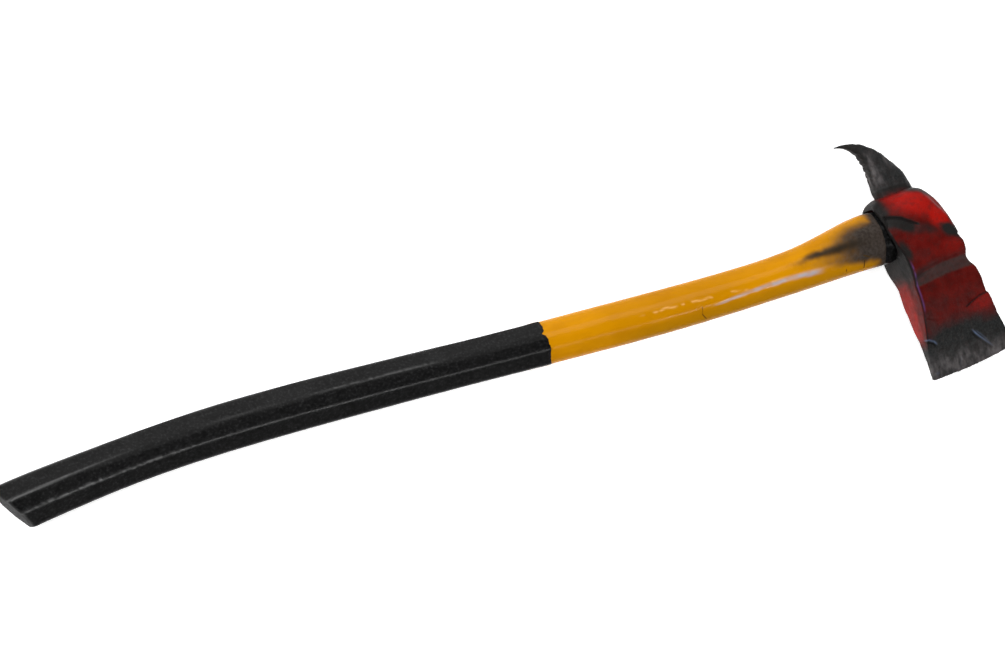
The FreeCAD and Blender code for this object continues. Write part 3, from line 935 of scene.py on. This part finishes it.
def make_sleeve(tree):
    """The rubber sleeve: closed over the butt, and lapping thinly over the jacket at its end."""
    piece = tube("grip", sleeve_rings(tree))
    points, normals = read(piece)
    x = points[:, 0]
    beside = beside_middle(points)
    up = ramp(normals[:, 2], 0.0, 0.4)
    beads = noise(points * (0.8, 1, 1), 2.3, 44)
    patchy = ramp(noise(points * (0.3, 1, 1), 16, 48) + 0.5 * beads, -0.3, 0.4)
    lower = bell(beside + 6.0, 1.2) * ramp(noise(points * (0.3, 1, 1), 30, 43), -0.35, 0.15)
    lower *= ramp(x, -60, -100)
    push = 0.15 * noise(points * (0.4, 1, 1), 18, 45) + 0.06 * noise(points, 6, 46)
    push += 0.022 * noise(points, 2.2, 47)
    push += up * bell(beside - 6.7, 0.9) * patchy * (0.20 + 0.08 * beads)
    push += up * lower * (0.16 + 0.26 * beads)
    press(piece, points, normals, ramp(x, 18, 8) * push)

    near_butt = ramp(x, -392, -415)
    shiny = np.maximum(ramp(noise(points * (0.5, 1, 1), 26, 49), -0.1, 0.35), near_butt)
    # Painted highlight lines along the grip's upper and lower creases.
    upper_highlight = bell(beside - 6.9, 0.8) * (0.4 * patchy * shiny + 0.6 * near_butt)
    lower_highlight = lower * (0.15 + 0.85 * ramp(beads, 0.0, 0.5))
    butt_face = ramp(-normals[:, 0], 0.5, 0.75) * ramp(x, -420, -440)
    mask(piece, "crease_highlight", up * np.maximum(upper_highlight, 0.9 * lower_highlight))
    mask(piece, "dull", np.maximum((1 - shiny) * up * ramp(beside, 2.5, 4.5), butt_face))
    smooth(piece, 50)
    return piece


def make_collar(tree):
    """The rubber ring that bulges out of the gap between shoulder and head."""
    stations = np.linspace(JACKET_END + 0.05, SOCKET_FLOOR_X - 0.05, 13)
    rings = soften(skin(tree, stations), 3)
    bulge = np.sin(math.pi * (stations - JACKET_END) / COLLAR_LENGTH)[:, None, None]
    rings = rings + outward(rings) * 0.9 * bulge
    bore = skin(tree, stations[::-4], inside=True)
    piece = ring_tube("collar", np.concatenate([rings, bore]))
    points, normals = read(piece)
    loose = np.sin(math.pi * np.clip((points[:, 0] - JACKET_END) / COLLAR_LENGTH, 0, 1))
    push = loose * (0.22 * noise(points, 5, 51) + 0.1 * noise(points, 2, 52))
    press(piece, points, normals, push)
    smooth(piece, 60)
    return piece


# -------- materials

RANGE_SOCKETS = ("Value", "From Min", "From Max", "To Min", "To Max")


class Finish:
    """A material and short ways to add nodes to it. Pattern sizes are in millimetres."""

    def __init__(self, name, **constants):
        self.material = bpy.data.materials.new(name)
        self.material.use_nodes = True
        self.tree = self.material.node_tree
        self.shader = self.tree.nodes["Principled BSDF"]
        for socket, value in constants.items():
            self.shader.inputs[socket.replace("_", " ")].default_value = value
        self.place = self.add("ShaderNodeTexCoord").outputs["Object"]

    def add(self, kind, inputs=None, **settings):
        node = self.tree.nodes.new(kind)
        for name, value in settings.items():
            setattr(node, name, value)
        for socket, value in (inputs or {}).items():
            self.feed(node.inputs[socket], value)
        return node

    def feed(self, socket, value):
        if isinstance(value, bpy.types.NodeSocket):
            self.tree.links.new(value, socket)
        else:
            socket.default_value = value

    def mask(self, name):
        return self.add("ShaderNodeAttribute", attribute_name=name).outputs["Fac"]

    def noise(self, size, detail=3.0, stretch=(1, 1, 1)):
        scaled = self.add("ShaderNodeMapping", {"Vector": self.place, "Scale": stretch})
        inputs = {"Vector": scaled.outputs["Vector"], "Scale": 1000 / size, "Detail": detail}
        return self.add("ShaderNodeTexNoise", inputs).outputs["Fac"]

    def math(self, operation, first, second):
        node = self.add("ShaderNodeMath", operation=operation)
        self.feed(node.inputs[0], first)
        self.feed(node.inputs[1], second)
        return node.outputs[0]

    def level(self, value, low, high, to_low=0.0, to_high=1.0):
        """Stretch a value between two levels, smoothly and with a stop at both."""
        inputs = dict(zip(RANGE_SOCKETS, (value, low, high, to_low, to_high)))
        node = self.add("ShaderNodeMapRange", inputs, interpolation_type="SMOOTHSTEP")
        return node.outputs["Result"]

    def mix(self, share, first, second):
        """Mix two colours, each a socket or red, green and blue."""
        node = self.add("ShaderNodeMix", data_type="RGBA")
        self.feed(node.inputs[0], share)
        for socket, value in ((6, first), (7, second)):
            if isinstance(value, tuple):
                value = (*value, 1)
            self.feed(node.inputs[socket], value)
        return node.outputs[2]

    def mottled(self, pattern, first, second, low=0.3, high=0.7):
        """Two colours, which a pattern mixes between two of its levels."""
        return self.mix(self.level(pattern, low, high), first, second)

    def sprayed(self, name, size, amount):
        """A mask whose soft edge is broken up by noise, like sprayed paint."""
        broken = self.math("MULTIPLY", self.math("SUBTRACT", self.noise(size, 4.0), 0.5), amount)
        return self.level(self.math("ADD", self.mask(name), broken), 0.0, 1.0)

    def bump(self, height, depth, normal=None):
        """Raise or lower the surface by a height pattern, depth in millimetres."""
        inputs = {"Height": height, "Distance": depth * MM}
        if normal is not None:
            inputs["Normal"] = normal
        return self.add("ShaderNodeBump", inputs).outputs["Normal"]

    def done(self, colour, roughness, normal):
        self.feed(self.shader.inputs["Base Color"], colour)
        self.feed(self.shader.inputs["Roughness"], roughness)
        self.feed(self.shader.inputs["Normal"], normal)
        return self.material


def head_finish():
    """Sprayed red over a blackened forging, sooted and rubbed back to steel near the edge, with
    painted shade in its hollows, a lighter painted underside and painted highlights.
    """
    finish = Finish("worn_red_head", Specular_IOR_Level=0.07)
    mottle = finish.noise(9, 5)
    fine = finish.noise(1.8, 4)
    old_red = finish.mottled(mottle, (0.060, 0.0036, 0.0027), (0.104, 0.0048, 0.0031), high=0.75)
    # Brighter red, which on the dome is also a painted highlight.
    bright_red = finish.mix(mottle, (0.285, 0.0050, 0.0030), (0.380, 0.0080, 0.0040))
    red = finish.mix(finish.mask("bright_red_and_highlight"), old_red, bright_red)
    # Painted light: a lighter red for the underside wall, as if lit from that side.
    lit_wall_red = finish.mottled(mottle, (0.20, 0.010, 0.007), (0.28, 0.016, 0.012))
    red = finish.mix(finish.mask("wall"), red, lit_wall_red)
    black = finish.mottled(fine, (0.0095, 0.0105, 0.0105), (0.021, 0.022, 0.022), high=0.75)
    brown = finish.level(finish.noise(5, 5, (1, 0.35, 1)), 0.55, 0.78, 0.0, 0.45)
    black = finish.mix(brown, black, (0.040, 0.033, 0.031))
    drawn = finish.noise(5, 6, (1, 0.45, 1))
    steel = finish.mottled(drawn, (0.032, 0.030, 0.030), (0.125, 0.114, 0.115))
    colour = finish.mix(finish.sprayed("worn", 7, 0.5), black, steel)
    colour = finish.mix(finish.sprayed("red", 4, 0.35), colour, red)
    # Grey for dusting and for painted sheen in the valley and on the boss's underside.
    colour = finish.mix(finish.sprayed("dust_and_sheen", 4, 0.6), colour, (0.042, 0.026, 0.024))
    # Black for soot and for painted shade in the hollows and along the edges.
    colour = finish.mix(finish.sprayed("soot", 5, 0.3), colour, (0.0135, 0.0130, 0.0125))
    specks = finish.level(finish.noise(1.1, 2), 0.62, 0.78, 0.0, 0.30)
    colour = finish.mix(specks, colour, (0.09, 0.06, 0.055))
    grime = finish.level(finish.noise(4.5, 6), 0.46, 0.68, 0.0, 0.34)
    colour = finish.mix(grime, colour, (0.012, 0.008, 0.007))
    # Painted shade, a painted purple highlight on the rim, and painted bluish highlights beside the
    # gouges.
    for name, shade in (
        ("dark", (0.004, 0.004, 0.004)), ("purple", (0.10, 0.045, 0.15)),
        ("glint", (0.10, 0.14, 0.23)),
    ):
        colour = finish.mix(finish.mask(name), colour, shade)
    roughness = finish.level(mottle, 0.25, 0.75, 0.34, 0.52)
    normal = finish.bump(fine, 0.12)
    normal = finish.bump(finish.noise(4.5, 4), 0.30, normal)
    return finish.done(colour, roughness, normal)


def jacket_finish():
    """Amber polymer with a thin gloss, sooted where it meets the head, with painted shade on its
    lower side and painted highlights on its wrinkles.
    """
    finish = Finish("sooted_yellow", Specular_IOR_Level=0.09)
    broad = finish.noise(45, 3, (0.35, 1, 1))
    fine = finish.noise(2.5, 4)
    yellow = finish.mottled(broad, (0.49, 0.197, 0.0003), (0.585, 0.238, 0.0006))
    cloudy = finish.level(finish.noise(12, 4, (0.5, 1, 1)), 0.45, 0.75, 0.0, 0.35)
    yellow = finish.mix(cloudy, yellow, (0.40, 0.145, 0.0003))
    # Painted shade on the lower side.
    yellow = finish.mix(finish.mask("low"), yellow, (0.31, 0.142, 0.0005))
    soot = finish.mottled(fine, (0.026, 0.019, 0.015), (0.046, 0.036, 0.030))
    colour = finish.mix(finish.sprayed("soot", 5, 0.2), yellow, soot)
    colour = finish.mix(finish.sprayed("core_soot", 5, 0.2), colour, (0.017, 0.012, 0.007))
    # Painted amber highlights on the wrinkles.
    colour = finish.mix(finish.mask("amber"), colour, (0.72, 0.37, 0.10))
    colour = finish.mix(finish.mask("sheen"), colour, (0.40, 0.36, 0.40))
    colour = finish.mix(finish.level(finish.mask("crack"), 0.35, 0.8), colour, (0.05, 0.026, 0.006))
    gloss = finish.level(finish.noise(8, 4), 0.3, 0.7, 0.16, 0.26)
    matte = finish.math("MULTIPLY", finish.mask("soot"), 0.32)
    roughness = finish.math("ADD", gloss, matte)
    normal = finish.bump(fine, 0.035)
    normal = finish.bump(finish.noise(9, 3, (0.4, 1, 1)), 0.12, normal)
    return finish.done(colour, roughness, normal)


def rubber_finish(name, pimple_size, shine):
    """Black moulded rubber: faintly mottled, with small pimples that catch the light, and painted
    highlight lines along the grip's creases.
    """
    finish = Finish(name, Specular_IOR_Level=shine)
    pimples = finish.noise(pimple_size, 3)
    grain = finish.noise(2.0, 3)
    cloud = finish.noise(20, 4, (0.4, 1, 1))
    colour = finish.mottled(cloud, (0.00221, 0.00221, 0.002236), (0.00299, 0.00299, 0.003042))
    colour = finish.mix(finish.level(grain, 0.52, 0.36, 0.0, 0.9), colour, (0.0008, 0.0008, 0.0008))
    colour = finish.mix(finish.level(grain, 0.50, 0.74, 0.0, 0.9), colour, (0.015, 0.015, 0.0155))
    # Painted highlight lines along the creases.
    colour = finish.mix(finish.mask("crease_highlight"), colour, (0.12, 0.12, 0.12))
    dull = finish.math("MULTIPLY", finish.mask("dull"), 0.32)
    roughness = finish.math("ADD", finish.level(finish.noise(3, 4), 0.3, 0.7, 0.28, 0.40), dull)
    normal = finish.bump(pimples, 0.16)
    normal = finish.bump(finish.noise(9, 3, (0.5, 1, 1)), 0.05, normal)
    return finish.done(colour, roughness, normal)


def resin_finish():
    """Cured amber-grey resin with small bubbles."""
    finish = Finish("eye_resin", Specular_IOR_Level=0.5, Coat_Weight=0.2)
    cloud = finish.noise(6, 4)
    colour = finish.mottled(cloud, (0.075, 0.055, 0.030), (0.15, 0.115, 0.065))
    bubbles = finish.add("ShaderNodeTexVoronoi", {"Vector": finish.place, "Scale": 420.0})
    dots = finish.level(bubbles.outputs["Distance"], 0.12, 0.3)
    colour = finish.mix(dots, (0.03, 0.022, 0.014), colour)
    normal = finish.bump(dots, 0.12)
    roughness = finish.level(cloud, 0.3, 0.7, 0.22, 0.38)
    return finish.done(colour, roughness, normal)


def core_finish():
    """Pultruded fibreglass: fine pale strands along the bar in a grey-green resin."""
    finish = Finish("fibreglass_bar", Specular_IOR_Level=0.45)
    strands = finish.noise(0.9, 3, (0.02, 1, 1))
    colour = finish.mottled(strands, (0.22, 0.23, 0.16), (0.50, 0.50, 0.40), 0.35, 0.65)
    roughness = finish.level(strands, 0.3, 0.7, 0.35, 0.55)
    return finish.done(colour, roughness, finish.bump(strands, 0.05))


def plug_finish():
    """Moulded black polymer with a fine spark-eroded texture."""
    finish = Finish("moulded_plug", Specular_IOR_Level=0.4)
    grain = finish.noise(0.8, 3)
    colour = finish.mix(grain, (0.020, 0.020, 0.021), (0.040, 0.040, 0.042))
    roughness = finish.level(grain, 0.3, 0.7, 0.5, 0.7)
    return finish.done(colour, roughness, finish.bump(grain, 0.06))


def floor_finish():
    """A pale matt floor, with a glow that keeps it near white far from the lights."""
    finish = Finish("pale_floor", Specular_IOR_Level=0.1)
    cloud = finish.noise(900, 2)
    colour = finish.mix(cloud, (0.86, 0.86, 0.86), (0.89, 0.89, 0.89))
    finish.shader.inputs["Emission Color"].default_value = (1, 1, 1, 1)
    finish.shader.inputs["Emission Strength"].default_value = 0.68
    return finish.done(colour, 0.9, finish.bump(finish.noise(2, 2), 0.01))


# -------- surroundings

FLOOR_REACH = 3.6
HEAD_REST_X = 0.395
BUTT_REST_X = -0.430
BUTT_REST_Z = 0.0062


def make_floor():
    """A wide floor that the head's lower cheek and the butt both rest on."""
    tilt = BUTT_REST_Z / (BUTT_REST_X - HEAD_REST_X)
    corners = []
    for x, y in ((-1, -1), (1, -1), (1, 1), (-1, 1)):
        height = (x * FLOOR_REACH - HEAD_REST_X) * tilt
        corners.append((x * FLOOR_REACH, y * FLOOR_REACH, height))
    mesh = bpy.data.meshes.new("floor")
    mesh.from_pydata(corners, [], [(0, 1, 2, 3)])
    mesh.materials.append(floor_finish())
    floor = add_object("floor", mesh)


def world_ramp(tree, value, levels, results):
    """Take a value smoothly from its first result to its second between two levels."""
    node = tree.nodes.new("ShaderNodeMapRange")
    node.interpolation_type = "SMOOTHSTEP"
    for name, number in zip(RANGE_SOCKETS[1:], (*levels, *results)):
        node.inputs[name].default_value = number
    tree.links.new(value, node.inputs["Value"])
    return node.outputs["Result"]


def world_math(tree, operation, *values):
    node = tree.nodes.new("ShaderNodeMath")
    node.operation = operation
    for socket, value in zip(node.inputs, values):
        tree.links.new(value, socket)
    return node.outputs[0]


def make_world():
    """Soft light from low down and mostly from the pick's side, in front of a plain white wall."""
    world = bpy.data.worlds.new("studio")
    bpy.context.scene.world = world
    world.use_nodes = True
    tree = world.node_tree
    place = tree.nodes.new("ShaderNodeTexCoord")
    parts = tree.nodes.new("ShaderNodeSeparateXYZ")
    tree.links.new(place.outputs["Generated"], parts.inputs[0])
    height = world_ramp(tree, parts.outputs["Z"], (0.15, 0.65), (1.0, 0.06))
    side = world_ramp(tree, parts.outputs["Y"], (-0.5, 0.6), (0.16, 1.0))
    soft = world_math(tree, "MULTIPLY", height, side)
    seen = tree.nodes.new("ShaderNodeLightPath").outputs["Is Camera Ray"]
    strength = world_math(tree, "MAXIMUM", soft, seen)
    background = tree.nodes["Background"]
    tree.links.new(strength, background.inputs["Strength"])
    background.inputs["Color"].default_value = (1, 1, 1, 1)


make_camera()
make_world()
make_floor()
for light in LIGHTS:
    make_light(*light)
bpy.context.scene.view_settings.view_transform = "Standard"

sleeve_tree = tree_of("grip_sleeve")
finish_piece(make_head(), head_finish(), "head_steel", "axe_head")
finish_piece(
    make_jacket(tree_of("handle_jacket"), sleeve_tree), jacket_finish(), "yellow_jacket",
    "handle_jacket",
)
finish_piece(
    make_sleeve(sleeve_tree), rubber_finish("grip_rubber", 2.2, 0.22), "grip_rubber", "grip_sleeve",
)
finish_piece(
    make_collar(tree_of("eye_collar")), rubber_finish("collar_rubber", 3.0, 0.10),
    "collar_rubber", "eye_collar",
)
for node, material in (
    ("eye_epoxy", resin_finish()), ("handle_core", core_finish()), ("butt_plug", plug_finish()),
):
    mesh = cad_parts[node].data
    mesh.materials.clear()
    mesh.materials.append(material)
